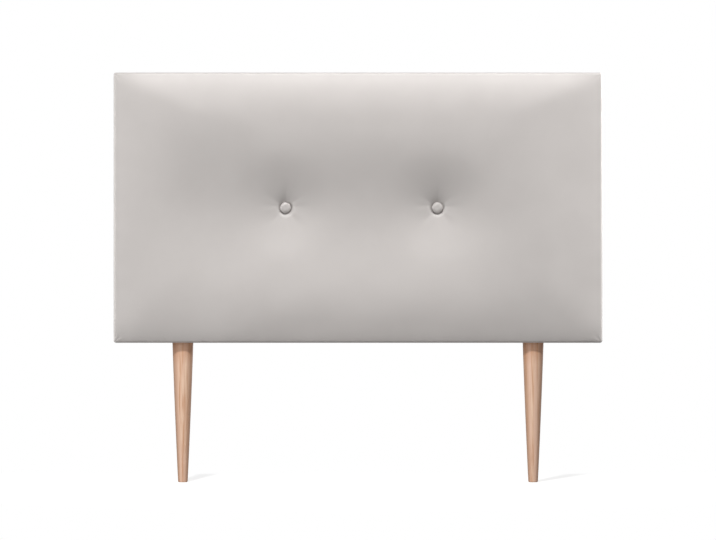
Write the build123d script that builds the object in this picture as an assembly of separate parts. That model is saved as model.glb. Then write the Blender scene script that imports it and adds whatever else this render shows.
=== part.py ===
"""Upholstered single-bed headboard: a button-tufted leatherette panel on two turned beech legs.

The part stands on the floor at z = 0, +Z is up, and the front faces -Y.
The origin is on the floor, in the middle of the width and of the depth.
All sizes are in millimetres.
"""

import os
from math import ceil, cos, radians, sin, sqrt

from build123d import *

# Panel
panel_width = 1000
panel_height = 553
panel_corner_radius = 5
leg_height = 287

# Timber frame
timber_depth = 45
rail_height = 45
stile_width = 45
corner_block_leg = 60
corner_block_depth = 38

# Front board and foam
board_thickness = 3
foam_edge = 11
edge_roll_radius = 6
crown_rise = 24
crown_reach = 140
crown_corner_radius = 60
valley_depth = 12
valley_height = 250
valley_length = 860

# Leatherette cover
cover_thickness = 1
cover_ease = 0.3
turn_in_width = 32

# Back cloth
cloth_thickness = 0.5
cloth_margin = 8

# Tufts
tuft_spacing = 311
tuft_offset = 7
tuft_depth = 25
tuft_reach = 122
tuft_bend_radius = 45
tuft_seat_margin = 1
foam_punch_diameter = 14

# Covered buttons
button_diameter = 23
button_height = 7
button_skirt = 2.5
button_skin = 0.8
button_shell_thickness = 0.5
button_lip = 3
button_back_thickness = 0.6
button_ease = 0.1

# Button eye, tufting twine and its anchor
eye_radius = 3
eye_wire = 1.4
eye_leg = 1.6
eye_clearance = 0.5
twine_diameter = 1.5
twine_clearance = 0.15
anchor_diameter = 25
anchor_thickness = 2
anchor_hole_clearance = 0.4
knot_diameter = 8
knot_height = 5

# Legs
leg_inset = 140
leg_top_diameter = 43
leg_foot_diameter = 20
leg_swell = 0.5
leg_foot_round = 2.5

# Leg fixings
bolt_diameter = 8
bolt_in_leg = 30
bolt_above_leg = 24
bolt_point = 5
bolt_clearance = 1
thread_ease = 0.05
insert_diameter = 12
insert_length = 20
pilot_extra = 3.5

# Wall plates
plate_inset = 150
plate_width = 50
plate_height = 30
plate_thickness = 1.5
plate_corner_radius = 4
keyhole_entry_diameter = 10
keyhole_slot_diameter = 5
keyhole_travel = 10
keyhole_pocket_depth = 12
keyhole_pocket_margin = 2
plate_screw_spacing = 38
plate_screw_diameter = 4
plate_screw_head = 8
plate_screw_length = 25

# Frame screws
frame_screw_diameter = 5
frame_screw_head = 9.5
frame_screw_length = 90
frame_screw_spacing = 18

# Staples
staple_crown = 10
staple_leg = 10
staple_wire_width = 1.2
staple_wire = 0.6
cover_staple_inset = 24
cover_staple_pitch = 45
cloth_staple_inset = 17
cloth_staple_pitch = 80
board_staple_inset = 22
board_staple_pitch = 110

# Cutting tools run this far past what they cut
overrun = 1

# The edge roll turns this far, in steps, and the crown then levels out as a power of the way in
roll_angle = 60
roll_steps = 4
crown_steps = 6
crown_power = 3.5
# The valley's surface runs past its border by these shares of its height and length
valley_height_share = 1.3
valley_length_share = 1.08
# How far down the tuft its two arcs meet, and how far each bulges from its chord
tuft_join_share = 0.45
tuft_bulge_share = 0.06
# Share of a screw's length that is its point
screw_point_share = 0.15


# Levels from back to front
total_depth = (
    plate_thickness
    + cloth_thickness
    + staple_wire
    + 2 * (cover_thickness + cover_ease)
    + timber_depth
    + board_thickness
    + foam_edge
    + crown_rise
)
back_y = total_depth / 2
cloth_back_y = back_y - plate_thickness
cloth_front_y = cloth_back_y - cloth_thickness
turn_in_back_y = cloth_front_y - staple_wire
timber_back_y = turn_in_back_y - cover_thickness - cover_ease
timber_front_y = timber_back_y - timber_depth
board_front_y = timber_front_y - board_thickness
crown_edge_y = board_front_y - foam_edge
crown_front_y = crown_edge_y - crown_rise
timber_mid_y = (timber_front_y + timber_back_y) / 2

# Outline of the frame, inside the cover
cover_wall = cover_thickness + cover_ease
frame_width = panel_width - 2 * cover_wall
frame_height = panel_height - 2 * cover_wall
frame_corner_radius = panel_corner_radius - cover_wall
panel_bottom_z = leg_height
panel_mid_z = panel_bottom_z + panel_height / 2
frame_bottom_z = panel_mid_z - frame_height / 2
frame_top_z = panel_mid_z + frame_height / 2
rail_mid_offset = (frame_height - rail_height) / 2
stile_mid_offset = (frame_width - stile_width) / 2
stile_height = frame_height - 2 * rail_height

# Places
tuft_xs = {"left": tuft_offset - tuft_spacing / 2, "right": tuft_offset + tuft_spacing / 2}
leg_xs = {"left": leg_inset - panel_width / 2, "right": panel_width / 2 - leg_inset}
plate_xs = {"left": plate_inset - panel_width / 2, "right": panel_width / 2 - plate_inset}
plate_z = panel_mid_z + rail_mid_offset
keyhole_entry_z = plate_z - keyhole_travel / 2
tuft_seat_y = crown_front_y + tuft_depth
button_seat_y = tuft_seat_y - cover_wall


# Plain shapes
def outline(width, height, radius, y):
    """A rounded rectangle round the middle of the panel, in the upright plane at y, facing the front."""
    plane = Plane(origin=(0, y, panel_mid_z), x_dir=(1, 0, 0), z_dir=(0, -1, 0))
    return plane * RectangleRounded(width, height, radius)


def slab(width, height, radius, front_y, back_y):
    """A rounded upright slab between two levels."""
    return extrude(outline(width, height, radius, back_y), amount=back_y - front_y)


def block(width, depth, height, x, y, z):
    """A box round a middle point."""
    return Pos(x, y, z) * Box(width, depth, height)


def rod(diameter, low_z, high_z, x, y):
    """An upright round bar."""
    return Pos(x, y, low_z) * Cylinder(
        diameter / 2, high_z - low_z, align=(Align.CENTER, Align.CENTER, Align.MIN)
    )


def level_rod(diameter, front_y, back_y, x, z):
    """A round bar that runs from front to back."""
    bar = Cylinder(diameter / 2, back_y - front_y, align=(Align.CENTER, Align.CENTER, Align.MIN))
    return Pos(x, back_y, z) * Rot(90, 0, 0) * bar


def turned(edges, axis):
    """A solid of revolution from a closed run of edges."""
    return revolve(make_face(edges), axis)


def hairpin(radius, leg, wire):
    """A round wire bent to a U in the XY plane: feet at y = 0, bend towards +Y."""
    path = Line((radius, 0), (radius, leg))
    path += ThreePointArc((radius, leg), (0, leg + radius), (-radius, leg))
    path += Line((-radius, leg), (-radius, 0))
    return sweep(Plane(origin=(radius, 0, 0), z_dir=(0, 1, 0)) * Circle(wire / 2), path=path)


def screw(head, diameter, length, ease=0):
    """A countersunk screw along -Z, its head flush with z = 0, grown all over by ease."""
    head_radius = head / 2 + ease
    radius = diameter / 2 + ease
    sink = head_radius - radius
    point = length * screw_point_share
    head_side = [(0, 0), (head_radius, 0), (radius, -sink)]
    shank_side = [(radius, point - length), (0, -length), (0, 0)]
    return turned(Plane.XZ * Polyline(*head_side, *shank_side), Axis.Z)


def staple():
    """A wire staple with its crown's outer face at y = 0 and its legs along -Y."""
    depth = staple_leg + staple_wire
    body = Pos(0, -depth / 2, 0) * Box(staple_crown, depth, staple_wire_width)
    gap_width = staple_crown - 2 * staple_wire
    gap = Pos(0, -staple_wire - depth / 2, 0) * Box(gap_width, depth, staple_wire_width + overrun)
    return body - gap


def spread(length, pitch):
    """Evenly spaced places along a length, about one pitch apart, half a step in from its ends."""
    count = max(1, ceil(length / pitch))
    return [length * ((i + 0.5) / count - 0.5) for i in range(count)]


# Frame
def frame_rail(z):
    """The stretch of the rounded frame slab that a rail takes, less its screw holes."""
    timber = slab(frame_width, frame_height, frame_corner_radius, timber_front_y, timber_back_y)
    rail = timber & block(frame_width, timber_depth, rail_height, 0, timber_mid_y, z)
    return rail - frame_screws(thread_ease)


def bolt_hole(x):
    """Room in the bottom rail for the insert nut and the bolt's end."""
    low_z = frame_bottom_z - overrun
    nut_room = rod(insert_diameter, low_z, frame_bottom_z + insert_length, x, timber_mid_y)
    hole_top_z = leg_height + bolt_above_leg + pilot_extra
    hole_diameter = bolt_diameter + 2 * thread_ease
    return nut_room + rod(hole_diameter, frame_bottom_z, hole_top_z, x, timber_mid_y)


def plate_pocket(x):
    """Room behind a wall plate for the head of the wall screw, from the plate into the timber."""
    head_radius = keyhole_entry_diameter / 2 + keyhole_pocket_margin
    width = 2 * head_radius
    height = keyhole_travel + 2 * head_radius
    front_y = timber_back_y - keyhole_pocket_depth
    plane = Plane(origin=(x, cloth_back_y, plate_z), x_dir=(1, 0, 0), z_dir=(0, -1, 0))
    pocket = plane * SlotOverall(height, width, rotation=90)
    return extrude(pocket, amount=cloth_back_y - front_y)


def make_top_rail():
    rail = frame_rail(panel_mid_z + rail_mid_offset)
    for x in plate_xs.values():
        rail -= plate_pocket(x)
    return rail - plate_screws(thread_ease)


def make_bottom_rail():
    rail = frame_rail(panel_mid_z - rail_mid_offset)
    for x in leg_xs.values():
        rail -= bolt_hole(x)
    return rail


def make_stile(x):
    stile = block(stile_width, timber_depth, stile_height, x, timber_mid_y, panel_mid_z)
    return stile - frame_screws(thread_ease)


def make_corner_blocks():
    """Triangular blocks glued into the frame's four inner corners."""
    corner_x = frame_width / 2 - stile_width
    corner_z = stile_height / 2
    plane = Plane(origin=(0, 0, 0), x_dir=(1, 0, 0), z_dir=(0, -1, 0))
    blocks = []
    for side_x in (-1, 1):
        for side_z in (-1, 1):
            corner = (side_x * corner_x, side_z * corner_z)
            along_rail = (side_x * (corner_x - corner_block_leg), side_z * corner_z)
            along_stile = (side_x * corner_x, side_z * (corner_z - corner_block_leg))
            face = plane * make_face(Polyline(corner, along_rail, along_stile, corner))
            solid = extrude(face, amount=corner_block_depth / 2, both=True)
            blocks.append(Pos(0, timber_mid_y, panel_mid_z) * solid)
    return blocks


# Padding
def valley_cut(grow):
    """The shallow valley along the row of buttons, shaped by three by five points.

    It grows shallower with the square of the height and the fourth power of the length.
    """
    reach_x = valley_length_share * valley_length / 2
    reach_z = valley_height_share * valley_height / 2
    points = []
    for i in range(-2, 3):
        row = []
        for j in range(-1, 2):
            loss = (-1) ** i * valley_length_share**4 - (-1) ** j * valley_height_share**2
            y = crown_front_y - grow + valley_depth * (1 - loss)
            row.append(Vector(reach_x * i / 2, y, panel_mid_z + reach_z * j))
        points.append(row)
    return extrude(Face.make_bezier_surface(points), valley_depth + overrun, (0, -1, 0))


def tuft_cut(x, grow):
    """The hollow of one tuft: a flat seat under the button and two arcs that level out to the crown."""
    seat_radius = button_diameter / 2 + tuft_seat_margin
    seat_y = tuft_seat_y - grow
    crown_y = crown_front_y - grow
    join_y = seat_y - tuft_depth * (1 - tuft_join_share)
    front_y = crown_y - tuft_depth
    bulge = tuft_depth * tuft_bulge_share
    lip_y = crown_y - bulge
    inner_mid = ((seat_radius + tuft_bend_radius) / 2, (seat_y + join_y) / 2 - bulge)
    outer_mid = ((tuft_bend_radius + tuft_reach) / 2, (join_y + lip_y) / 2 - bulge)
    edges = Line((0, seat_y), (seat_radius, seat_y))
    edges += ThreePointArc((seat_radius, seat_y), inner_mid, (tuft_bend_radius, join_y))
    edges += ThreePointArc((tuft_bend_radius, join_y), outer_mid, (tuft_reach, lip_y))
    edges += Polyline((tuft_reach, lip_y), (tuft_reach, front_y), (0, front_y), (0, seat_y))
    return Pos(x, 0, panel_mid_z) * turned(edges, Axis.Y)


def padding_section(inset, rise, grow):
    """The padding's outline, drawn in by inset where it has risen this far above the foam's edge."""
    corner = frame_corner_radius + (crown_corner_radius - frame_corner_radius) * inset / crown_reach
    width = frame_width + 2 * (grow - inset)
    height = frame_height + 2 * (grow - inset)
    return outline(width, height, corner + grow, crown_edge_y - rise - grow)


def padding(back_y, grow):
    """The padded front from one level forwards, grown by grow: edge, edge roll, crown, valley and tufts."""
    width = frame_width + 2 * grow
    height = frame_height + 2 * grow
    body = slab(width, height, frame_corner_radius + grow, crown_edge_y - grow, back_y)
    roll = []
    for i in range(roll_steps + 1):
        angle = radians(roll_angle * i / roll_steps)
        roll.append((edge_roll_radius * (1 - cos(angle)), edge_roll_radius * sin(angle)))
    body += loft([padding_section(inset, rise, grow) for inset, rise in roll], ruled=True)
    start_inset, start_rise = roll[-1]
    crown = []
    for i in range(crown_steps + 1):
        way = i / crown_steps
        inset = start_inset + (crown_reach - start_inset) * way
        rise = start_rise + (crown_rise - start_rise) * (1 - (1 - way) ** crown_power)
        crown.append((inset, rise))
    body += loft([padding_section(inset, rise, grow) for inset, rise in crown])
    body -= valley_cut(grow)
    for x in tuft_xs.values():
        body -= tuft_cut(x, grow)
    return body


def make_board():
    board = slab(frame_width, frame_height, frame_corner_radius, board_front_y, timber_front_y)
    hole = 2 * (eye_wire / 2 + twine_diameter + twine_clearance + anchor_hole_clearance)
    for x in tuft_xs.values():
        board -= level_rod(hole, board_front_y - overrun, timber_front_y + overrun, x, panel_mid_z)
    return board


def make_foam():
    foam = padding(board_front_y, 0)
    for x in tuft_xs.values():
        foam -= level_rod(foam_punch_diameter, crown_front_y, board_front_y + overrun, x, panel_mid_z)
    return foam


def make_cover():
    """Leatherette round the front and the edges, turned in on the back."""
    skin = padding(turn_in_back_y, cover_wall) - padding(turn_in_back_y - cover_thickness, cover_ease)
    window_width = panel_width - 2 * turn_in_width
    window_height = panel_height - 2 * turn_in_width
    window_back_y = turn_in_back_y + overrun
    skin -= slab(window_width, window_height, panel_corner_radius, timber_back_y, window_back_y)
    hole = 2 * (eye_radius + eye_clearance) + eye_wire
    for x in tuft_xs.values():
        skin -= level_rod(hole, button_seat_y - overrun, tuft_seat_y, x, panel_mid_z)
    for x in leg_xs.values():
        diameter = bolt_diameter + 2 * bolt_clearance
        skin -= rod(diameter, leg_height - overrun, frame_bottom_z + overrun, x, timber_mid_y)
    for x in plate_xs.values():
        skin -= plate_pocket(x)
    return skin - plate_screws(thread_ease)


def make_back_cloth():
    width = panel_width - 2 * cloth_margin
    height = panel_height - 2 * cloth_margin
    cloth = slab(width, height, panel_corner_radius, cloth_front_y, cloth_back_y)
    for x in plate_xs.values():
        cloth -= plate_pocket(x)
        for side in (-plate_screw_spacing / 2, plate_screw_spacing / 2):
            cloth -= level_rod(
                plate_screw_head, cloth_front_y - overrun, cloth_back_y + overrun, x + side, plate_z
            )
    return cloth


# Buttons, each made at the origin on the Y axis with its seat at y = 0, then put in its tuft
def dome(radius, skirt, height):
    """The arc of a cap over its skirt, level at the axis."""
    return TangentArc((0, -height), (radius, -skirt), tangent=(1, 0))


def make_button_cover():
    radius = button_diameter / 2
    inner = radius - button_skin
    lip_radius = inner - button_lip
    inner_height = button_height - button_skin
    edges = Line((radius, 0), (radius, -button_skirt)) + dome(radius, button_skirt, button_height)
    edges += Line((0, -button_height), (0, -inner_height))
    edges += dome(inner, button_skirt, inner_height)
    edges += Line((inner, -button_skirt), (inner, -button_skin))
    edges += Polyline((inner, -button_skin), (lip_radius, -button_skin), (lip_radius, 0), (radius, 0))
    return turned(edges, Axis.Y)


def make_button_shell():
    radius = button_diameter / 2 - button_skin - button_ease
    inner = radius - button_shell_thickness
    height = button_height - button_skin - button_ease
    inner_height = height - button_shell_thickness
    rim = -button_skin - button_ease
    edges = Line((radius, rim), (radius, -button_skirt)) + dome(radius, button_skirt, height)
    edges += Line((0, -height), (0, -inner_height))
    edges += dome(inner, button_skirt, inner_height)
    edges += Polyline((inner, -button_skirt), (inner, rim), (radius, rim))
    return turned(edges, Axis.Y)


def make_button_back():
    """A stepped plate that clamps the turned-in skin inside the shell, with a wire eye behind it."""
    shell_inner = button_diameter / 2 - button_skin - button_ease - button_shell_thickness
    boss = button_diameter / 2 - button_skin - button_lip - button_ease
    flange = shell_inner - button_ease
    step = -button_skin - button_ease
    top = step - button_back_thickness
    edges = Polyline((0, 0), (boss, 0), (boss, step), (flange, step), (flange, top), (0, top), (0, 0))
    plate = turned(edges, Axis.Y)
    sunk = button_back_thickness / 2
    eye = Pos(0, -sunk, 0) * Rot(0, 90, 0) * hairpin(eye_radius, eye_leg + sunk, eye_wire)
    return plate + eye


def make_twine():
    """A loop of twine round the button's eye, through foam and board, knotted behind the anchor."""
    bend = eye_wire / 2 + twine_clearance + twine_diameter / 2
    eye_y = eye_leg + eye_radius
    board_back = timber_front_y - button_seat_y
    knot_y = board_back + anchor_thickness + twine_clearance
    strand = hairpin(bend, knot_y - eye_y + twine_diameter, twine_diameter)
    loop = Pos(0, knot_y + twine_diameter, 0) * Rot(0, 0, 180) * strand
    half = knot_diameter / 2
    side = (half, knot_y + knot_height / 2)
    knot_edges = Line((0, knot_y), (half / 2, knot_y))
    knot_edges += ThreePointArc((half / 2, knot_y), side, (half / 2, knot_y + knot_height))
    knot_edges += Polyline((half / 2, knot_y + knot_height), (0, knot_y + knot_height), (0, knot_y))
    return loop + turned(knot_edges, Axis.Y)


def make_anchor():
    board_back = timber_front_y - button_seat_y
    hole = 2 * (eye_wire / 2 + twine_diameter + twine_clearance + anchor_hole_clearance)
    disc = level_rod(anchor_diameter, board_back, board_back + anchor_thickness, 0, 0)
    rear = board_back + anchor_thickness + overrun
    return disc - level_rod(hole, board_back - overrun, rear, 0, 0)


# Legs, made on the Z axis and then put under the bottom rail
def make_leg():
    """A turned cone with a slight swell, a rounded foot and a blind hole for its bolt."""
    top = leg_top_diameter / 2
    foot = leg_foot_diameter / 2
    flat = foot - leg_foot_round
    middle = ((top + foot) / 2 + leg_swell, (leg_height + leg_foot_round) / 2)
    edges = Line((0, 0), (flat, 0))
    edges += CenterArc((flat, leg_foot_round), leg_foot_round, -90, 90)
    edges += ThreePointArc((foot, leg_foot_round), middle, (top, leg_height))
    edges += Polyline((top, leg_height), (0, leg_height), (0, 0))
    leg = turned(Plane.XZ * edges, Axis.Z)
    hole_diameter = bolt_diameter + 2 * thread_ease
    return leg - rod(hole_diameter, leg_height - bolt_in_leg, leg_height + overrun, 0, 0)


def make_hanger_bolt():
    """A plain stud with a point in the leg; both threads are left smooth."""
    low_z = leg_height - bolt_in_leg
    high_z = leg_height + bolt_above_leg
    radius = bolt_diameter / 2
    profile = Polyline((0, low_z), (radius, low_z + bolt_point), (radius, high_z), (0, high_z), (0, low_z))
    return turned(Plane.XZ * profile, Axis.Z)


def make_insert_nut():
    """A flangeless insert, flush with the rail's lower face."""
    top_z = frame_bottom_z + insert_length
    sleeve = rod(insert_diameter, frame_bottom_z, top_z, 0, 0)
    bore = bolt_diameter + 2 * thread_ease
    return sleeve - rod(bore, frame_bottom_z - overrun, top_z + overrun, 0, 0)


# Wall plates and screws
def keyhole_cut(x):
    """The keyhole through a wall plate: a round entry with a slot above it."""
    plane = Plane(origin=(x, back_y + overrun, keyhole_entry_z), x_dir=(1, 0, 0), z_dir=(0, -1, 0))
    slot = Pos(0, keyhole_travel / 2) * Rectangle(keyhole_slot_diameter, keyhole_travel)
    slot += Pos(0, keyhole_travel) * Circle(keyhole_slot_diameter / 2)
    keyhole = plane * (Circle(keyhole_entry_diameter / 2) + slot)
    return extrude(keyhole, amount=plate_thickness + 2 * overrun)


def make_wall_plate(x):
    plane = Plane(origin=(x, back_y, plate_z), x_dir=(1, 0, 0), z_dir=(0, -1, 0))
    face = plane * RectangleRounded(plate_width, plate_height, plate_corner_radius)
    plate = extrude(face, amount=plate_thickness) - keyhole_cut(x)
    return plate - plate_screws(thread_ease)


def plate_screws(ease=0):
    """Two screws in each wall plate, or their holes where they are grown by ease."""
    body = Rot(-90, 0, 0) * screw(plate_screw_head, plate_screw_diameter, plate_screw_length, ease)
    sides = (-plate_screw_spacing / 2, plate_screw_spacing / 2)
    return [Pos(x + side, back_y, plate_z) * body for x in plate_xs.values() for side in sides]


def frame_screws(ease=0):
    """Two screws through each rail into the end of each stile, or their holes."""
    body = screw(frame_screw_head, frame_screw_diameter, frame_screw_length, ease)
    screws = []
    for x in (-stile_mid_offset, 0, stile_mid_offset):
        for side in (-frame_screw_spacing / 2, frame_screw_spacing / 2):
            screws.append(Pos(x, timber_mid_y + side, frame_top_z) * body)
            screws.append(Pos(x, timber_mid_y + side, frame_bottom_z) * Rot(180, 0, 0) * body)
    return screws


# Staples
def near_plate(x):
    """Whether a staple here would lie under a wall plate."""
    reach = (plate_width + staple_crown) / 2 + staple_wire_width
    return any(abs(x - plate_x) < reach for plate_x in plate_xs.values())


def staple_ring(inset, pitch, y, turn):
    """Staples in a rectangle inside the frame's edge, each with its crown along the edge."""
    half_width = frame_width / 2 - inset
    half_height = frame_height / 2 - inset
    body = Rot(0, 0, turn) * staple()
    upright = Rot(0, 90, 0) * body
    places = []
    for x in spread(2 * half_width, pitch):
        if not near_plate(x):
            places.append(Pos(x, y, panel_mid_z + half_height) * body)
        places.append(Pos(x, y, panel_mid_z - half_height) * body)
    for z in spread(2 * half_height, pitch):
        places.append(Pos(-half_width, y, panel_mid_z + z) * upright)
        places.append(Pos(half_width, y, panel_mid_z + z) * upright)
    return places


def make_board_staples():
    return staple_ring(board_staple_inset, board_staple_pitch, board_front_y, 180)


def make_cover_staples():
    return staple_ring(cover_staple_inset, cover_staple_pitch, cloth_front_y, 0)


def make_cloth_staples():
    return staple_ring(cloth_staple_inset, cloth_staple_pitch, cloth_back_y + staple_wire, 0)


def write(name, shape):
    """One STEP file for each node; a list is a group of separate solids."""
    shape = Compound(children=list(shape)) if isinstance(shape, list) else shape
    export_step(shape, f"parts/{name}.step")


def main():
    os.makedirs("parts", exist_ok=True)
    write("frame_top_rail", make_top_rail())
    write("frame_bottom_rail", make_bottom_rail())
    write("frame_left_stile", make_stile(-stile_mid_offset))
    write("frame_right_stile", make_stile(stile_mid_offset))
    write("frame_centre_stile", make_stile(0))
    write("corner_blocks", make_corner_blocks())
    write("frame_screws", frame_screws())
    write("front_board", make_board())
    write("board_staples", make_board_staples())
    write("foam_pad", make_foam())
    write("upholstery_cover", make_cover())
    write("cover_staples", make_cover_staples())
    write("back_cloth", make_back_cloth())
    write("cloth_staples", make_cloth_staples())
    for side, x in tuft_xs.items():
        place = Pos(x, button_seat_y, panel_mid_z)
        write(f"button_cover_{side}", place * make_button_cover())
        write(f"button_shell_{side}", place * make_button_shell())
        write(f"button_back_{side}", place * make_button_back())
        write(f"tufting_twine_{side}", place * make_twine())
        write(f"tuft_anchor_{side}", place * make_anchor())
    for side, x in leg_xs.items():
        place = Pos(x, timber_mid_y, 0)
        write(f"leg_{side}", place * make_leg())
        write(f"hanger_bolt_{side}", place * make_hanger_bolt())
        write(f"insert_nut_{side}", place * make_insert_nut())
    for side, x in plate_xs.items():
        write(f"wall_plate_{side}", make_wall_plate(x))
    write("plate_screws", plate_screws())


main()
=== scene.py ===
import math

import bpy
import numpy as np
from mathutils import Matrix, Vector


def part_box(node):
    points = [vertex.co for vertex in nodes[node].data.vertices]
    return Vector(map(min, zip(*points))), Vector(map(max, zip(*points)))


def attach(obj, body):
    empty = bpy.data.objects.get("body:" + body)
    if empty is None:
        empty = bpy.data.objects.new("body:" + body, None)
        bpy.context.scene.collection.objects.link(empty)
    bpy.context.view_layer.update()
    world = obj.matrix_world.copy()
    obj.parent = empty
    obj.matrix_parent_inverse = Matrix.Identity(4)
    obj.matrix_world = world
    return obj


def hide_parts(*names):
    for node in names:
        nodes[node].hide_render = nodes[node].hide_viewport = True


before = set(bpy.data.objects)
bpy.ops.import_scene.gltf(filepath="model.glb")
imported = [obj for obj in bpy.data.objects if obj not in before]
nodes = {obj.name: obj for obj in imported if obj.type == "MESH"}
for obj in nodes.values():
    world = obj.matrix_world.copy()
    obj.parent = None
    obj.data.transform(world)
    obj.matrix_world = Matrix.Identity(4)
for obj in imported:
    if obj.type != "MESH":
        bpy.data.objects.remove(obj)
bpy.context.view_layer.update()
print("frame loaded")

# The panel's middle is at x = 0 and half way between its lower and upper edges
skinLow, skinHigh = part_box("upholstery_cover")
halfWidth = (skinHigh.x - skinLow.x) / 2
halfHeight = (skinHigh.z - skinLow.z) / 2
middleZ = (skinHigh.z + skinLow.z) / 2
turnInY = skinHigh.y

# Where the two buttons sit, from the CAD caps
buttonBoxes = {side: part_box("button_cover_" + side) for side in ("left", "right")}
buttonPlaces = {side: ((lo.x + hi.x) / 2, (lo.z + hi.z) / 2) for side, (lo, hi) in buttonBoxes.items()}
seatY = buttonBoxes["left"][1].y


# Points and faces are whole arrays, with the place in the points: the object itself stays at the origin
def addMesh(name, points, faces, material):
    mesh = bpy.data.meshes.new(name)
    mesh.from_pydata(points.tolist(), [], faces.tolist())
    mesh.polygons.foreach_set("use_smooth", np.ones(len(faces), bool))
    mesh.materials.append(material)
    made = bpy.data.objects.new(name, mesh)
    bpy.context.scene.collection.objects.link(made)
    return made


# Gives a surface its wall, inwards from the side that shows
def thicken(piece, thickness):
    solid = piece.modifiers.new("thickness", "SOLIDIFY")
    solid.thickness = thickness
    solid.offset = -1


# A falloff that is one at the start and zero at the end: half a cosine wave
def cosineFade(value, start, end):
    share = np.clip((value - start) / (end - start), 0, 1)
    return 0.5 + 0.5 * np.cos(np.pi * share)


# Grid lines from low to high, as close as a density asks: one, plus a bell curve for each (place, width, height)
def unevenLines(low, high, count, peaks):
    fine = np.linspace(low, high, 4001)
    density = np.ones_like(fine)
    for place, width, height in peaks:
        density += height * np.exp(-(((fine - place) / width) ** 2))
    total = np.concatenate([[0], np.cumsum((density[1:] + density[:-1]) / 2)])
    return np.interp(np.linspace(0, total[-1], count), total, fine)


# Moves the nearest grid line to each of the places
def snapped(lines, places):
    lines = lines.copy()
    for place in places:
        lines[np.argmin(np.abs(lines - place))] = place
    return lines


# Quads between neighbouring points of a grid, which face forwards
def gridFaces(countX, countZ):
    number = np.arange(countX * countZ).reshape(countX, countZ)
    corners = [number[:-1, :-1], number[1:, :-1], number[1:, 1:], number[:-1, 1:]]
    return np.stack([c.ravel() for c in corners], 1)


# The numbers of a grid's rim points, once round in the order of ringPoints
def rimNumbers(countX, countZ):
    number = np.arange(countX * countZ).reshape(countX, countZ)
    return np.concatenate([number[:-1, 0], number[-1, :-1], number[::-1, -1][:-1], number[0, ::-1][:-1]])


# Quads between two rings with as many points each, which face outwards
def ringFaces(inner, outer):
    return np.stack([inner, np.roll(inner, -1), np.roll(outer, -1), outer], 1)[:, ::-1]


# sRGB hex to the linear values that a shader takes
def linear(code):
    parts = [int(code[i : i + 2], 16) / 255 for i in (1, 3, 5)]
    return (*[c / 12.92 if c <= 0.04045 else ((c + 0.055) / 1.055) ** 2.4 for c in parts], 1.0)


# Adds a node, sets its properties, and fills or links its inputs. Colours of a Mix node go in at 6 and 7, and its
# mixed colour comes out at 2
def add(tree, kind, inputs=None, **settings):
    made = tree.nodes.new(kind)
    for key, value in settings.items():
        setattr(made, key, value)
    for key, value in (inputs or {}).items():
        if isinstance(value, bpy.types.NodeSocket):
            tree.links.new(value, made.inputs[key])
        else:
            made.inputs[key].default_value = value
    return made


# An empty material, its node tree and the object coordinates in it
def startMaterial(name):
    material = bpy.data.materials.new(name)
    material.use_nodes = True
    tree = material.node_tree
    tree.nodes.clear()
    return material, tree, add(tree, "ShaderNodeTexCoord").outputs["Object"]


# Ends a material in its shader, with the constants on the shader's own sockets
def finishMaterial(material, inputs):
    tree = material.node_tree
    shader = add(tree, "ShaderNodeBsdfPrincipled", inputs)
    add(tree, "ShaderNodeOutputMaterial", {"Surface": shader.outputs[0]})
    return material


# Polyurethane-coated leatherette, embossed with a fine pebble: soft broad highlights, a faint grain close up. The
# pebbles are 1.2 mm, twice the real ones, so that they show
def makeLeatherette():
    material, tree, place = startMaterial("embossedLeatherette")
    pebble = add(tree, "ShaderNodeTexVoronoi", {"Vector": place, "Scale": 850}, feature="SMOOTH_F1")
    cloud = add(tree, "ShaderNodeTexNoise", {"Vector": place, "Scale": 14, "Detail": 3})  # 7 cm clouds
    tones = {0: cloud.outputs[0], 6: linear("#BAB5B2"), 7: linear("#C2BDBA")}
    tone = add(tree, "ShaderNodeMix", tones, data_type="RGBA").outputs[2]
    raised = {"Strength": 0.5, "Distance": 0.00006, "Height": pebble.outputs["Distance"]}
    bump = add(tree, "ShaderNodeBump", raised).outputs[0]
    return finishMaterial(material, {"Base Color": tone, "Roughness": 0.42, "IOR": 1.5, "Normal": bump})


# Open-cell polyurethane foam: matt and warm, with pores of 1 mm
def makeFoam():
    material, tree, place = startMaterial("polyurethaneFoam")
    pores = add(tree, "ShaderNodeTexNoise", {"Vector": place, "Scale": 900, "Detail": 2}).outputs[0]
    tones = {0: pores, 6: linear("#D8CFAE"), 7: linear("#EDE6CC")}
    tone = add(tree, "ShaderNodeMix", tones, data_type="RGBA").outputs[2]
    bump = add(tree, "ShaderNodeBump", {"Strength": 0.5, "Distance": 0.0003, "Height": pores}).outputs[0]
    return finishMaterial(material, {"Base Color": tone, "Roughness": 0.95, "IOR": 1.5, "Normal": bump})


# Black spunbond non-woven: tangled fibres in 0.7 mm tufts, with a faint 1.6 mm dimple grid from the bonding rolls
def makeBackCloth():
    material, tree, place = startMaterial("spunbondCloth")
    fibres = add(tree, "ShaderNodeTexNoise", {"Vector": place, "Scale": 1400, "Detail": 4}).outputs[0]
    grid = {"Vector": place, "Scale": 620, "Randomness": 0.15}
    dots = add(tree, "ShaderNodeTexVoronoi", grid).outputs["Distance"]
    tones = {0: fibres, 6: linear("#17171A"), 7: linear("#3A3A3E")}
    tone = add(tree, "ShaderNodeMix", tones, data_type="RGBA").outputs[2]
    bump = add(tree, "ShaderNodeBump", {"Strength": 0.4, "Distance": 0.0001, "Height": dots}).outputs[0]
    return finishMaterial(material, {"Base Color": tone, "Roughness": 0.8, "IOR": 1.49, "Normal": bump})


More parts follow.
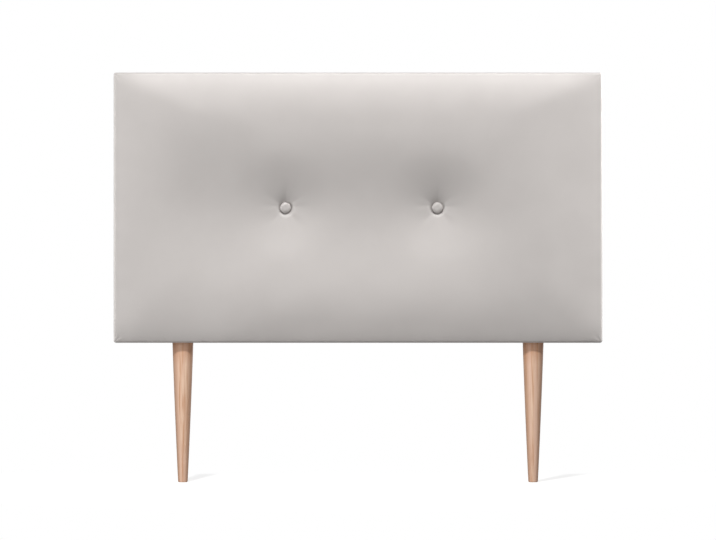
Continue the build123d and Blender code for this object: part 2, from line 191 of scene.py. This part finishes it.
legLow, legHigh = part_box("leg_right")
leg = {
    "place": (legLow.x + legHigh.x) / 2,
    "footRadius": 0.0090,
    "topRadius": (legHigh.x - legLow.x) / 2,
    "sideFrom": 0.45,  # share of the radius where the painted shade of the sides starts
    # The painted shadow at each leg's top, where the panel shades it: where it starts and where it is full below
    # the panel, and how strong it is
    "shadeFrom": 0.046,  # below the panel
    "shadeFull": 0.016,
    "paintedShade": 0.38,
}


# Beech, turned and waxed: pale in the middle and darker towards the left and right sides by painted shade, with
# upright streaks 3 mm wide in 8 mm bands, short flecks of 1 by 6 mm, and a warm painted shadow at the top, where
# the panel shades the leg. The place across a leg is measured in shares of its radius at that height.
def makeBeech():
    material, tree, place = startMaterial("waxedBeech")
    apart = add(tree, "ShaderNodeSeparateXYZ", {"Vector": place}).outputs
    either = add(tree, "ShaderNodeMath", {0: apart["X"]}, operation="ABSOLUTE").outputs[0]
    across = add(tree, "ShaderNodeMath", {0: either, 1: leg["place"]}, operation="SUBTRACT").outputs[0]
    away = add(tree, "ShaderNodeMath", {0: across}, operation="ABSOLUTE").outputs[0]
    taper = {"Value": apart["Z"], "From Max": skinLow.z, "To Min": leg["footRadius"], "To Max": leg["topRadius"]}
    radius = add(tree, "ShaderNodeMapRange", taper).outputs[0]
    share = add(tree, "ShaderNodeMath", {0: away, 1: radius}, operation="DIVIDE").outputs[0]
    # Painted shade: the tone darkens from this share of the radius out to the leg's left and right sides
    side = add(tree, "ShaderNodeMapRange", {"Value": share, "From Min": leg["sideFrom"]}).outputs[0]

    fine = add(tree, "ShaderNodeMapping", {"Vector": place, "Scale": (330, 330, 6)}).outputs[0]
    broad = add(tree, "ShaderNodeMapping", {"Vector": place, "Scale": (130, 130, 3)}).outputs[0]
    short = add(tree, "ShaderNodeMapping", {"Vector": place, "Scale": (900, 900, 160)}).outputs[0]
    streaks = add(tree, "ShaderNodeTexNoise", {"Vector": fine, "Scale": 1, "Detail": 3}).outputs[0]
    bands = add(tree, "ShaderNodeTexNoise", {"Vector": broad, "Scale": 1, "Detail": 1}).outputs[0]
    flecks = add(tree, "ShaderNodeTexVoronoi", {"Vector": short, "Scale": 1, "Randomness": 1}).outputs["Distance"]
    isStreak = add(tree, "ShaderNodeMapRange", {"Value": streaks, "From Min": 0.35, "From Max": 0.65}).outputs[0]
    isBand = add(tree, "ShaderNodeMapRange", {"Value": bands, "From Min": 0.38, "From Max": 0.62}).outputs[0]
    core = {"Value": flecks, "From Min": 0.16, "From Max": 0.05, "To Max": 0.45}
    isFleck = add(tree, "ShaderNodeMapRange", core).outputs[0]
    # Painted shadow of the panel on the top of each leg: a warm darker brown that fades in from 46 mm to 16 mm
    # below the panel
    gathers = {"Value": apart["Z"], "From Min": skinLow.z - leg["shadeFrom"], "From Max": skinLow.z - leg["shadeFull"]}
    isPaintedShade = add(tree, "ShaderNodeMapRange", {**gathers, "To Max": leg["paintedShade"]}).outputs[0]

    tone = linear("#CC9A79")
    # The side tone is painted shade, and the warm brown near the top is a painted shadow
    layers = [(isStreak, "#EDCBB0"), (isBand, "#E6C0A8"), (side, "#C2977A")]
    layers += [(isPaintedShade, "#AD6935"), (isFleck, "#A06A45")]
    for factor, code in layers:
        tone = add(tree, "ShaderNodeMix", {0: factor, 6: tone, 7: linear(code)}, data_type="RGBA").outputs[2]
    bump = add(tree, "ShaderNodeBump", {"Strength": 0.4, "Distance": 0.00005, "Height": streaks}).outputs[0]
    return finishMaterial(material, {"Base Color": tone, "Roughness": 0.38, "IOR": 1.5, "Normal": bump})


# Planed pine of the hidden frame: yellow, with soft bands 17 mm wide along the boards
def makePine():
    material, tree, place = startMaterial("planedPine")
    along = add(tree, "ShaderNodeMapping", {"Vector": place, "Scale": (6, 60, 60)}).outputs[0]
    bands = add(tree, "ShaderNodeTexNoise", {"Vector": along, "Scale": 1, "Detail": 3}).outputs[0]
    tones = {0: bands, 6: linear("#C79A5E"), 7: linear("#EACB94")}
    tone = add(tree, "ShaderNodeMix", tones, data_type="RGBA").outputs[2]
    return finishMaterial(material, {"Base Color": tone, "Roughness": 0.7, "IOR": 1.5})


# Pressed hardboard: brown fibres with no direction, in clumps of 2.5 mm
def makeHardboard():
    material, tree, place = startMaterial("pressedHardboard")
    fibres = add(tree, "ShaderNodeTexNoise", {"Vector": place, "Scale": 400, "Detail": 4}).outputs[0]
    tones = {0: fibres, 6: linear("#5E3F27"), 7: linear("#8A6240")}
    tone = add(tree, "ShaderNodeMix", tones, data_type="RGBA").outputs[2]
    return finishMaterial(material, {"Base Color": tone, "Roughness": 0.6, "IOR": 1.5})


# Plated or bare metal: the crystals of the coat show as slow changes of gloss, 4.5 mm across
def makeMetal(name, code, gloss):
    material, tree, place = startMaterial(name)
    spangle = add(tree, "ShaderNodeTexNoise", {"Vector": place, "Scale": 220, "Detail": 2}).outputs[0]
    change = {"Value": spangle, "From Min": 0.3, "From Max": 0.7, "To Min": gloss - 0.06, "To Max": gloss + 0.08}
    rough = add(tree, "ShaderNodeMapRange", change).outputs[0]
    return finishMaterial(material, {"Base Color": linear(code), "Metallic": 1.0, "Roughness": rough})


# Waxed twine: a laid cord, seen as slanting ribs
def makeTwine():
    material, tree, place = startMaterial("waxedTwine")
    laid = {"Vector": place, "Scale": 260, "Distortion": 1}
    ribs = add(tree, "ShaderNodeTexWave", laid, bands_direction="DIAGONAL").outputs["Fac"]
    tones = {0: ribs, 6: linear("#B7AA8C"), 7: linear("#DDD3BB")}
    tone = add(tree, "ShaderNodeMix", tones, data_type="RGBA").outputs[2]
    bump = add(tree, "ShaderNodeBump", {"Strength": 1.0, "Distance": 0.0002, "Height": ribs}).outputs[0]
    return finishMaterial(material, {"Base Color": tone, "Roughness": 0.6, "Normal": bump})


# Moulded plastic of the anchor washers: plain, slightly glossy black
def makePlastic():
    material = startMaterial("mouldedPlastic")[0]
    return finishMaterial(material, {"Base Color": linear("#232323"), "Roughness": 0.4, "IOR": 1.49})


leatherette = makeLeatherette()
foamMaterial = makeFoam()
clothMaterial = makeBackCloth()
beech = makeBeech()
pine = makePine()
hardboard = makeHardboard()
zinc = makeMetal("zincPlatedSteel", "#C9CBCE", 0.32)
stapleSteel = makeMetal("galvanisedWire", "#BDBFC1", 0.38)
insertSteel = makeMetal("yellowZincSteel", "#C9B47C", 0.34)
aluminium = makeMetal("pressedAluminium", "#D5D6D8", 0.3)
twine = makeTwine()
plastic = makePlastic()

# A CAD node takes the material of the longest of these that its name starts with
cadMaterials = {
    "frame_": pine,
    "corner_blocks": pine,
    "frame_screws": zinc,
    "plate_screws": zinc,
    "wall_plate_": zinc,
    "front_board": hardboard,
    "board_staples": stapleSteel,
    "cover_staples": stapleSteel,
    "cloth_staples": stapleSteel,
    "button_shell_": aluminium,
    "button_back_": zinc,
    "tufting_twine_": twine,
    "tuft_anchor_": plastic,
    "leg_": beech,
    "hanger_bolt_": zinc,
    "insert_nut_": insertSteel,
}
for name, part in nodes.items():
    matches = [key for key in cadMaterials if name.startswith(key)]
    if matches:
        part.data.materials.clear()
        part.data.materials.append(cadMaterials[max(matches, key=len)])
print("materials made")

cover = {
    "relief": 0.007,  # how far the front stands proud of the CAD front
    "thickness": 0.001,
    "columns": 240,
    "rows": 134,
    "crownRise": 0.0155,
    "crownReachSide": 0.222,
    "crownReachTop": 0.104,
    "crownReachFoot": 0.225,
    "crownPower": 1.45,
    "footRoll": 0.0016,
    "footRollReach": 0.010,
    "rollRadius": 0.0068,
    "rollStart": 30,  # degrees that the front has turned by at its rim
    "sideCorner": 0.005,
    "leastCorner": 0.0006,
    "cornerSpread": 0.060,
    "sideFrom": 0.0305,  # from the foremost plane back to where the upright sides start
    "backBend": 0.002,
    "turnIn": 0.032,
    "valleyDepth": 0.0168,
    "valleyAbove": 0.190,
    "valleyBelow": 0.206,
    "valleyLow": 0.0270,  # how far its bottom lies below the buttons
    "valleyLeft": (0.285, 0.494),  # where it starts to fade and has gone, from the panel's middle
    "valleyRight": (0.145, 0.412),
    "valleyTurn": (0.15, 0.32),  # where it starts and stops to change, left of the middle
    "valleyLeftWiden": 0.045,
    "valleyLeftGain": 0.22,
    "seatRadius": 0.0120,
    "tuftReach": 0.120,
    "tuftPower": 1.72,
    "tuftLip": 0.0046,
    "tuftLipReach": 0.0030,
    "tuftLipAbove": 2.3,
    "folds": ((5, 1.0, 0.7), (8, 0.6, 2.1), (13, 0.4, 0.0)),  # count round a tuft, size, turn
    "foldDepth": 0.00025,
    "foldPlace": 0.030,
    "foldSpread": 0.018,
    "waviness": 0.00025,
    "puckerDepth": 0.0002,
    "puckerPitch": 0.045,
    "puckerReach": 0.012,
    "pleatDepth": 0.0003,
    "pleatReach": 0.016,
}
plateHole = {"x": 0.350, "half": 0.007, "low": 0.8042, "high": 0.8282}  # behind each hanging plate
frontY = skinLow.y - cover["relief"]
rollInset = cover["rollRadius"] * (1 - math.sin(math.radians(cover["rollStart"])))
edgeX, edgeZ = halfWidth - rollInset, halfHeight - rollInset


# How far the cover lies behind its foremost plane. The crown falls off towards each edge as a power of the
# share of its reach that is used up; the two directions join by a fourth-power norm. Along the foot the skin is
# pulled round a little earlier, as an exponential of the distance to the edge.
def crownDepth(x, z, edgeX, edgeZ):
    reachZ = np.where(z > 0, cover["crownReachTop"], cover["crownReachFoot"])
    nearX = np.clip(1 - (edgeX - np.abs(x)) / cover["crownReachSide"], 0, None)
    nearZ = np.clip(1 - (edgeZ - np.abs(z)) / reachZ, 0, None)
    power = 4 * (cover["crownPower"] + 1)
    joined = (nearX**power + nearZ**power) ** 0.25
    footRoll = np.where(z < 0, cover["footRoll"] * np.exp(-(edgeZ - np.abs(z)) / cover["footRollReach"]), 0)
    return cover["crownRise"] * joined + footRoll


# The valley along the buttons is a cosine wave in height, and fades out towards both ends. Left of the left button
# it widens upwards, and deepens and widens downwards, as half a cosine wave along its length.
def valleyDepth(x, z):
    up = z + cover["valleyLow"]
    leftness = 1 - cosineFade(-x, *cover["valleyTurn"])
    deeper = 1 + cover["valleyLeftGain"] * leftness
    above = cover["valleyAbove"] + cover["valleyLeftWiden"] * leftness
    below = cover["valleyBelow"] * deeper
    inHeight = cosineFade(up, 0, above) * cosineFade(-up, 0, below)
    inLength = cosineFade(-x, *cover["valleyLeft"]) * cosineFade(x, *cover["valleyRight"])
    return cover["valleyDepth"] * deeper * inHeight * inLength


# Each tuft falls as a power of the distance to its rim, with a short steep lip round the button's seat that is an
# exponential and reaches further above the button than below it. Folds are sines of the angle round the button.
def tuftDepth(x, z, place):
    across, up = x - place[0], z - (place[1] - middleZ)
    away, angle = np.sqrt(across**2 + up**2), np.arctan2(up, across)
    atSeat = float(valleyDepth(np.array(place[0]), np.array(0.0)))
    lip, seat = cover["tuftLip"], cover["seatRadius"]
    share = np.clip(1 - np.maximum(away, seat) / cover["tuftReach"], 0, 1)
    full = (1 - seat / cover["tuftReach"]) ** cover["tuftPower"]
    wide = (seatY - frontY - atSeat - lip) * share ** cover["tuftPower"] / full
    reach = cover["tuftLipReach"] * (1 + cover["tuftLipAbove"] * np.clip(np.sin(angle), 0, 1))
    steep = lip * np.exp(-np.clip(away - seat, 0, None) / reach)
    folds = sum(size * np.sin(count * angle + turn) for count, size, turn in cover["folds"])
    near = np.exp(-(((away - cover["foldPlace"]) / cover["foldSpread"]) ** 2))
    return wide + steep + cover["foldDepth"] * folds * near


# Slow sine waves of a hand-stretched skin, 0.3 to 0.4 m long, with shorter ones of 0.2 m on them
def waviness(x, z):
    slow = np.sin(21 * x + 9 * z + 0.4) * np.sin(17 * z - 6 * x + 1.3)
    short = np.sin(39 * x - 23 * z + 2.2) * np.sin(31 * z + 11 * x)
    return cover["waviness"] * (slow + 0.6 * short)


# Small puckers along the edges, where the skin is pulled over between staples, as sines at the staples' pitch
# with some drift, and short pleats that fan out from each corner: a sine of the angle round the corner, faded with
# the square of the distance
def puckers(x, z, edgeX, edgeZ):
    pitch, reach = cover["puckerPitch"], cover["puckerReach"]
    fromX, fromZ = edgeX - np.abs(x), edgeZ - np.abs(z)
    atTop = np.exp(-fromZ / reach) * np.sin(2 * np.pi * (x / pitch) + 1.1 * np.sin(13 * x))
    atSide = np.exp(-fromX / reach) * np.sin(2 * np.pi * (z / pitch) + 1.1 * np.sin(17 * z))
    turn = np.arctan2(fromZ + 0.002, fromX + 0.002)
    atCorner = np.exp(-(fromX**2 + fromZ**2) / cover["pleatReach"] ** 2) * np.sin(9 * turn + 0.8)
    return cover["puckerDepth"] * (atTop + atSide) + cover["pleatDepth"] * atCorner


# The depth of the whole front: the sum of crown, valley, tufts, waves and puckers
def frontDepth(x, z, edgeX, edgeZ):
    depth = crownDepth(x, z, edgeX, edgeZ) + valleyDepth(x, z)
    for place in buttonPlaces.values():
        depth = depth + tuftDepth(x, z, place)
    return depth + waviness(x, z) + puckers(x, z, edgeX, edgeZ)


# A ring round the panel is a rounded rectangle, inset from the panel's outline. The points of the last stretch
# before each corner are spread over the rest of the side and half of the corner's arc.
def ringPoints(xs, zs, inset, edgeX, edgeZ):
    radius = max(cover["sideCorner"] - inset, cover["leastCorner"])
    halfX, halfZ = halfWidth - inset, halfHeight - inset
    spread = cover["cornerSpread"]

    def along(values, edge, half):
        length = half - radius + radius * np.pi / 4
        size = np.abs(values)
        moved = edge - spread + (size - edge + spread) * (length - edge + spread) / spread
        return np.sign(values) * np.where(size > edge - spread, moved, size)

    def place(values, half, other):
        size = np.abs(values)
        turn = np.clip((size - (half - radius)) / radius, 0, None)
        side = np.sign(values) * np.where(turn > 0, half - radius + radius * np.sin(turn), size)
        return side, other - radius * (1 - np.cos(turn))

    alongX, acrossZ = place(along(xs, edgeX, halfX), halfX, halfZ)
    alongZ, acrossX = place(along(zs, edgeZ, halfZ), halfZ, halfX)
    bottom = np.stack([alongX[:-1], -acrossZ[:-1]], 1)
    right = np.stack([acrossX[:-1], alongZ[:-1]], 1)
    top = np.stack([alongX[::-1][:-1], acrossZ[::-1][:-1]], 1)
    left = np.stack([-acrossX[::-1][:-1], alongZ[::-1][:-1]], 1)
    return np.concatenate([bottom, right, top, left])


# The rounded edge from the front's rim to the upright side, as rows of inset, share of the way back and y: the
# rest of a quarter circle, in five equal turns
def rollRows(sideY):
    start = math.radians(cover["rollStart"])
    rows = []
    for step in (0.2, 0.4, 0.6, 0.8, 1.0):
        angle = start + step * (math.pi / 2 - start)
        share = (math.cos(start) - math.cos(angle)) / math.cos(start)
        rows.append((cover["rollRadius"] * (1 - math.sin(angle)), share, sideY))
    return rows


# The front is a grid over x and z, pushed back by frontDepth. Rings of points carry its rim round the edge and on
# through the rows behind, each of them an inset and a y. Gives points, faces and the last ring's numbers.
def panelSkin(xs, zs, setIn, rowsBehind, edgeX, edgeZ):
    gridX, gridZ = np.meshgrid(xs, zs, indexing="ij")
    depth = frontDepth(gridX, gridZ, edgeX, edgeZ)
    points = [np.stack([gridX, frontY + setIn + depth, gridZ + middleZ], 2).reshape(-1, 3)]
    faces = [gridFaces(len(xs), len(zs))]
    inner, start = rimNumbers(len(xs), len(zs)), len(points[0])
    rimY = points[0][inner, 1]
    rows = rollRows(frontY + cover["sideFrom"] + setIn) + [(inset, 1.0, y) for inset, y in rowsBehind]
    for inset, share, y in rows:
        flat = ringPoints(xs, zs, inset + setIn, edgeX, edgeZ)
        points.append(np.stack([flat[:, 0], rimY + (y - rimY) * share, flat[:, 1] + middleZ], 1))
        outer = start + np.arange(len(flat))
        faces.append(ringFaces(inner, outer))
        inner, start = outer, start + len(flat)
    return np.concatenate(points), np.concatenate(faces), inner


# The grid is closer round the buttons and along the edges: place, width and height of each peak of its density
peaksX = [(x, 0.035, 1.6) for x, z in buttonPlaces.values()]
peaksX += [(x, 0.014, 4.0) for x, z in buttonPlaces.values()]
peaksX += [(side * edgeX, 0.016, 4.0) for side in (-1, 1)]
peaksZ = [(0, 0.035, 1.2), (0, 0.014, 3.0)]
peaksZ += [(side * edgeZ, 0.016, 4.0) for side in (-1, 1)]
holeSides = [s * plateHole["x"] + t * plateHole["half"] for s in (-1, 1) for t in (-1, 1)]
coverX = snapped(unevenLines(-edgeX, edgeX, cover["columns"], peaksX), holeSides)
coverZ = unevenLines(-edgeZ, edgeZ, cover["rows"], peaksZ)

bend, holeTop = cover["backBend"], halfHeight - (plateHole["high"] - middleZ)
backRows = [(0.0, y) for y in np.linspace(frontY + cover["sideFrom"], turnInY - bend, 9)[1:]]
backRows += [(bend * (1 - math.cos(a)), turnInY - bend * (1 - math.sin(a))) for a in (math.pi / 6, math.pi / 3)]
turnInRows = (bend, 0.007, holeTop, 0.017, 0.022, 0.027, cover["turnIn"])  # about 5 mm apart on the back
backRows += [(inset, turnInY) for inset in turnInRows]
points, faces = panelSkin(coverX, coverZ, 0.0, backRows, edgeX, edgeZ)[:2]
centres = points[faces].mean(1)
behindPlate = np.abs(np.abs(centres[:, 0]) - plateHole["x"]) < plateHole["half"]
behindPlate &= (centres[:, 2] < plateHole["high"]) & (centres[:, 2] > middleZ)
behindPlate &= centres[:, 1] > turnInY - cover["thickness"] / 5
upholsteryCover = addMesh("upholsteryCover", points, faces[~behindPlate], leatherette)
thicken(upholsteryCover, cover["thickness"])
print("cover made", len(points), "points")

# The foam is the cover's front and sides, set in by a little more than the cover's thickness, with a flat back
foam = {"setIn": 0.0013, "columns": 120, "rows": 70}
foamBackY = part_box("foam_pad")[1].y
foamEdgeX, foamEdgeZ = edgeX - foam["setIn"], edgeZ - foam["setIn"]
foamX = unevenLines(-foamEdgeX, foamEdgeX, foam["columns"], peaksX)
foamZ = unevenLines(-foamEdgeZ, foamEdgeZ, foam["rows"], peaksZ)
points, faces, lastRing = panelSkin(foamX, foamZ, foam["setIn"], [(0.0, foamBackY)], foamEdgeX, foamEdgeZ)
gridX, gridZ = np.meshgrid(foamX, foamZ, indexing="ij")
flatBack = np.stack([gridX, np.full_like(gridX, foamBackY), gridZ + middleZ], 2).reshape(-1, 3)
backFaces = gridFaces(len(foamX), len(foamZ))[:, ::-1] + len(points)
backRim = rimNumbers(len(foamX), len(foamZ)) + len(points)
faces = np.concatenate([faces, backFaces, ringFaces(lastRing, backRim)])
foamPad = addMesh("foamPad", np.concatenate([points, flatBack]), faces, foamMaterial)
print("foam made")

# The back cloth is a flat sheet with slow sine waves that fade out before its stapled edges
backCloth = {
    "thickness": 0.0005,
    "waviness": 0.0003,
    "columns": 180,
    "rows": 100,
    "calmX": (0.44, 0.485),  # where the waves start to fade and have gone, from the middle
    "calmZ": (0.215, 0.262),
}
clothLow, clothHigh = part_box("back_cloth")
holeLines = [plateHole["low"] - middleZ, plateHole["high"] - middleZ]
clothX = snapped(np.linspace(clothLow.x, clothHigh.x, backCloth["columns"]), holeSides)
clothZ = snapped(np.linspace(clothLow.z, clothHigh.z, backCloth["rows"]) - middleZ, holeLines)
gridX, gridZ = np.meshgrid(clothX, clothZ, indexing="ij")
waves = np.sin(15 * gridX + 4 * gridZ) * np.sin(19 * gridZ + 1.0) + 0.5 * np.sin(33 * gridX - 12 * gridZ)
calm = cosineFade(np.abs(gridX), *backCloth["calmX"]) * cosineFade(np.abs(gridZ), *backCloth["calmZ"])
clothY = clothHigh.y - backCloth["waviness"] * (1 + waves / 1.5) * 0.5 * calm
points = np.stack([gridX, clothY, gridZ + middleZ], 2).reshape(-1, 3)
faces = gridFaces(len(clothX), len(clothZ))[:, ::-1]
centres = points[faces].mean(1)
inHole = np.abs(np.abs(centres[:, 0]) - plateHole["x"]) < plateHole["half"]
inHole &= (centres[:, 2] > plateHole["low"]) & (centres[:, 2] < plateHole["high"])
backClothPiece = addMesh("backCloth", points, faces[~inHole], clothMaterial)
thicken(backClothPiece, backCloth["thickness"])
print("back cloth made")

button = {
    "radius": 0.0110,
    "height": 0.0070,
    "footRadii": (0.0078, 0.0100, 0.0107),
    "footRises": (0.0, 0.0, 0.0001),
    "skirtFrom": 0.0004,
    "skirt": 0.0025,
    "roundness": 2.15,
    "dimple": 0.0005,
    "dimpleReach": 0.0035,
    "pole": 0.0002,
    "gathers": 24,
    "gatherDepth": 0.00012,
    "gatherReach": 0.003,
    "domeRows": 28,
    "pointsRound": 96,
}


# A cap is a profile turned round the button's axis: foot tucked under, upright skirt, and a flattened dome as a
# superellipse. The skirt is drawn in by small gathers, as the size of a sine of the angle.
def makeButtonCap(name, place, foremostY, footY):
    radius, dome = button["radius"], button["height"] - button["skirt"]
    turns = np.linspace(0, np.pi / 2, button["domeRows"])
    domeR = radius * np.cos(turns) ** (2 / button["roundness"])
    domeY = foremostY + dome * (1 - np.sin(turns) ** (2 / button["roundness"]))
    domeY += button["dimple"] * np.exp(-((domeR / button["dimpleReach"]) ** 2))
    domeR[-1] = button["pole"]
    skirtY = np.linspace(footY - button["skirtFrom"], foremostY + dome, 4)[:-1]
    profileR = np.concatenate([button["footRadii"], np.full(3, radius), domeR])
    profileY = np.concatenate([footY - np.array(button["footRises"]), skirtY, domeY])
    angles = np.linspace(0, 2 * np.pi, button["pointsRound"], endpoint=False)
    gathered = np.exp(-(((profileR - radius) / button["gatherReach"]) ** 2))
    ripple = button["gatherDepth"] * np.outer(gathered, np.sin(button["gathers"] * angles))
    wide = profileR[:, None] - np.abs(ripple)
    y = np.repeat(profileY[:, None], len(angles), 1)
    points = np.stack([place[0] + wide * np.cos(angles), y, place[1] + wide * np.sin(angles)], 2).reshape(-1, 3)
    number = np.arange(len(points)).reshape(len(profileR), -1)
    faces = np.concatenate([ringFaces(inner, outer) for inner, outer in zip(number[:-1], number[1:])])
    return addMesh(name, points, faces, leatherette)


capPieces = {}
for side, (lo, hi) in buttonBoxes.items():
    capPieces[side] = makeButtonCap("buttonCap" + side.capitalize(), buttonPlaces[side], lo.y, hi.y)
print("button caps made")

stage = {
    "litBy": 0.80,  # grey of the floor that the object sees
    "pale": 0.66,  # grey of the floor that the camera sees, which keeps the shadows
    "glow": 0.76,  # light of its own on top, up to white
    "whiteBehind": (0.31, 0.372),  # depths between which it turns to pure white
    "whiteAround": (0.70, 1.00),  # and distances from the middle
    "ambient": 0.19,
}
net = {"setBack": 0.012, "above": 0.006, "past": 0.004, "passes": 0.60}

# Direction from the panel's middle, distance, width, height and watts
lampSettings = {
    "topSoftbox": ((0.12, -0.18, 0.97), 5.0, 3.8, 3.0, 280),
    "keySoftbox": ((-0.02, -0.47, 0.88), 5.0, 2.4, 1.6, 148),
    "leftSoftbox": ((-0.94, -0.22, -0.04), 3.6, 1.7, 0.8, 83),
    "rightSoftbox": ((0.92, -0.16, 0.34), 3.6, 1.7, 2.2, 103),
    "frontSpot": ((-0.19, -0.84, 0.50), 4.0, 0.25, 0.25, 88),
    "legFill": ((-0.60, -0.78, 0.10), 4.0, 1.2, 1.2, 36),
    "backFill": ((0.52, 0.82, 0.25), 4.5, 2.6, 2.0, 105),
}
view = {"lens": 200, "sensor": 36, "distance": 8.160, "height": 0.436}


def grey(value):
    return (value, value, value, 1)


# The floor lights the object as a matt one. The camera sees it paler, with its shadows, and pure white further off
def makeFloor():
    material, tree, place = startMaterial("whiteFloor")
    seen = add(tree, "ShaderNodeLightPath").outputs["Is Camera Ray"]
    matt = add(tree, "ShaderNodeBsdfDiffuse", {"Color": grey(stage["litBy"])})
    pale = add(tree, "ShaderNodeBsdfDiffuse", {"Color": grey(stage["pale"])})
    glow = add(tree, "ShaderNodeEmission", {"Color": grey(1), "Strength": stage["glow"]})
    both = add(tree, "ShaderNodeAddShader", {0: pale.outputs[0], 1: glow.outputs[0]})
    white = add(tree, "ShaderNodeEmission", {"Color": grey(1), "Strength": 1.0})
    depth = add(tree, "ShaderNodeSeparateXYZ", {"Vector": place}).outputs["Y"]
    away = add(tree, "ShaderNodeVectorMath", {0: place}, operation="LENGTH").outputs["Value"]
    fades = []
    for value, (start, end) in ((depth, stage["whiteBehind"]), (away, stage["whiteAround"])):
        ends = {"Value": value, "From Min": start, "From Max": end}
        fades.append(add(tree, "ShaderNodeMapRange", ends).outputs[0])
    far = add(tree, "ShaderNodeMath", {0: fades[0], 1: fades[1]}, operation="MAXIMUM").outputs[0]
    near = add(tree, "ShaderNodeMixShader", {0: far, 1: both.outputs[0], 2: white.outputs[0]})
    shown = add(tree, "ShaderNodeMixShader", {0: seen, 1: matt.outputs[0], 2: near.outputs[0]})
    add(tree, "ShaderNodeOutputMaterial", {"Surface": shown.outputs[0]})
    corners = np.array([(-8.0, -5.0, 0.0), (8.0, -5.0, 0.0), (8.0, 14.0, 0.0), (-8.0, 14.0, 0.0)])
    return addMesh("floor", corners, np.array([(0, 1, 2, 3)]), material)


# A net close above the panel's top edge, out of the camera's sight: it holds back part of the light from above, so
# that the pale top of the panel doesn't burn out, and leaves the front alone
def makeNet():
    material, tree = startMaterial("greyNet")[:2]
    passed = add(tree, "ShaderNodeBsdfTransparent", {"Color": grey(net["passes"])})
    add(tree, "ShaderNodeOutputMaterial", {"Surface": passed.outputs[0]})
    side, z = halfWidth + net["past"], skinHigh.z + net["above"]
    low, high = frontY + net["setBack"], skinHigh.y + net["past"]
    corners = np.array([(-side, low, z), (side, low, z), (side, high, z), (-side, high, z)])
    scrim = addMesh("netScrim", corners, np.array([(0, 1, 2, 3)]), material)
    scrim.visible_camera = False
    return scrim


# White for the camera and in reflections, and a dim ambient light for the rest
def makeWorld():
    world = bpy.data.worlds.new("studio")
    world.use_nodes = True
    tree = world.node_tree
    tree.nodes.clear()
    rays = add(tree, "ShaderNodeLightPath").outputs
    direct = {0: rays["Is Camera Ray"], 1: rays["Is Glossy Ray"]}
    first = add(tree, "ShaderNodeMath", direct, operation="MAXIMUM").outputs[0]
    shows = add(tree, "ShaderNodeMath", {0: first, 1: rays["Is Transmission Ray"]}, operation="MAXIMUM").outputs[0]
    lit = add(tree, "ShaderNodeBackground", {"Color": grey(1), "Strength": stage["ambient"]})
    white = add(tree, "ShaderNodeBackground", {"Color": grey(1), "Strength": 1.0})
    mixed = add(tree, "ShaderNodeMixShader", {0: shows, 1: lit.outputs[0], 2: white.outputs[0]})
    add(tree, "ShaderNodeOutputWorld", {"Surface": mixed.outputs[0]})
    bpy.context.scene.world = world


# A rectangular softbox that looks at the panel's middle
def makeLamp(name, direction, distance, width, height, watts):
    lamp = bpy.data.lights.new(name, "AREA")
    lamp.shape = "RECTANGLE"
    lamp.size, lamp.size_y = width, height
    lamp.energy = watts
    made = bpy.data.objects.new(name, lamp)
    bpy.context.scene.collection.objects.link(made)
    towards = Vector(direction).normalized()
    made.location = Vector((0, 0, middleZ)) + towards * distance
    made.rotation_euler = towards.to_track_quat("Z", "Y").to_euler()
    made.visible_camera = False
    return made


# Says which objects a lamp leaves out, or which are the only ones that it lights
def linkLight(lamp, state, members):
    receivers = bpy.data.collections.new(lamp.name + "Receivers")
    for member in members:
        receivers.objects.link(member)
    for entry in receivers.collection_objects:
        entry.light_linking.link_state = state
    lamp.light_linking.receiver_collection = receivers


floor = makeFloor()
netScrim = makeNet()
makeWorld()
lamps = {name: makeLamp(name, *settings) for name, settings in lampSettings.items()}

# The softboxes light all but the floor and the legs. The front spot is for just those: it gives each foot its
# shadow to the back right, and each leg its short shadow under the panel. The leg fill softens the legs, and the
# back fill is for views from behind.
legs = [nodes["leg_left"], nodes["leg_right"]]
for name in ("topSoftbox", "keySoftbox", "leftSoftbox", "rightSoftbox"):
    linkLight(lamps[name], "EXCLUDE", [floor] + legs)
linkLight(lamps["frontSpot"], "INCLUDE", [floor] + legs)
linkLight(lamps["legFill"], "INCLUDE", legs)
linkLight(lamps["backFill"], "EXCLUDE", [floor])

cameraData = bpy.data.cameras.new("camera")
cameraData.lens = view["lens"]
cameraData.sensor_width = view["sensor"]
camera = bpy.data.objects.new("camera", cameraData)
camera.location = (0, -view["distance"], view["height"])
camera.rotation_euler = (math.pi / 2, 0, 0)
bpy.context.scene.collection.objects.link(camera)
bpy.context.scene.camera = camera
bpy.context.scene.view_settings.view_transform = "Standard"
print("stage set")

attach(upholsteryCover, "root")
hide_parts("upholstery_cover")
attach(foamPad, "root")
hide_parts("foam_pad")
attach(backClothPiece, "root")
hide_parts("back_cloth")
for side, cap in capPieces.items():
    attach(cap, "root")
    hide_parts("button_cover_" + side)

print("pieces declared")
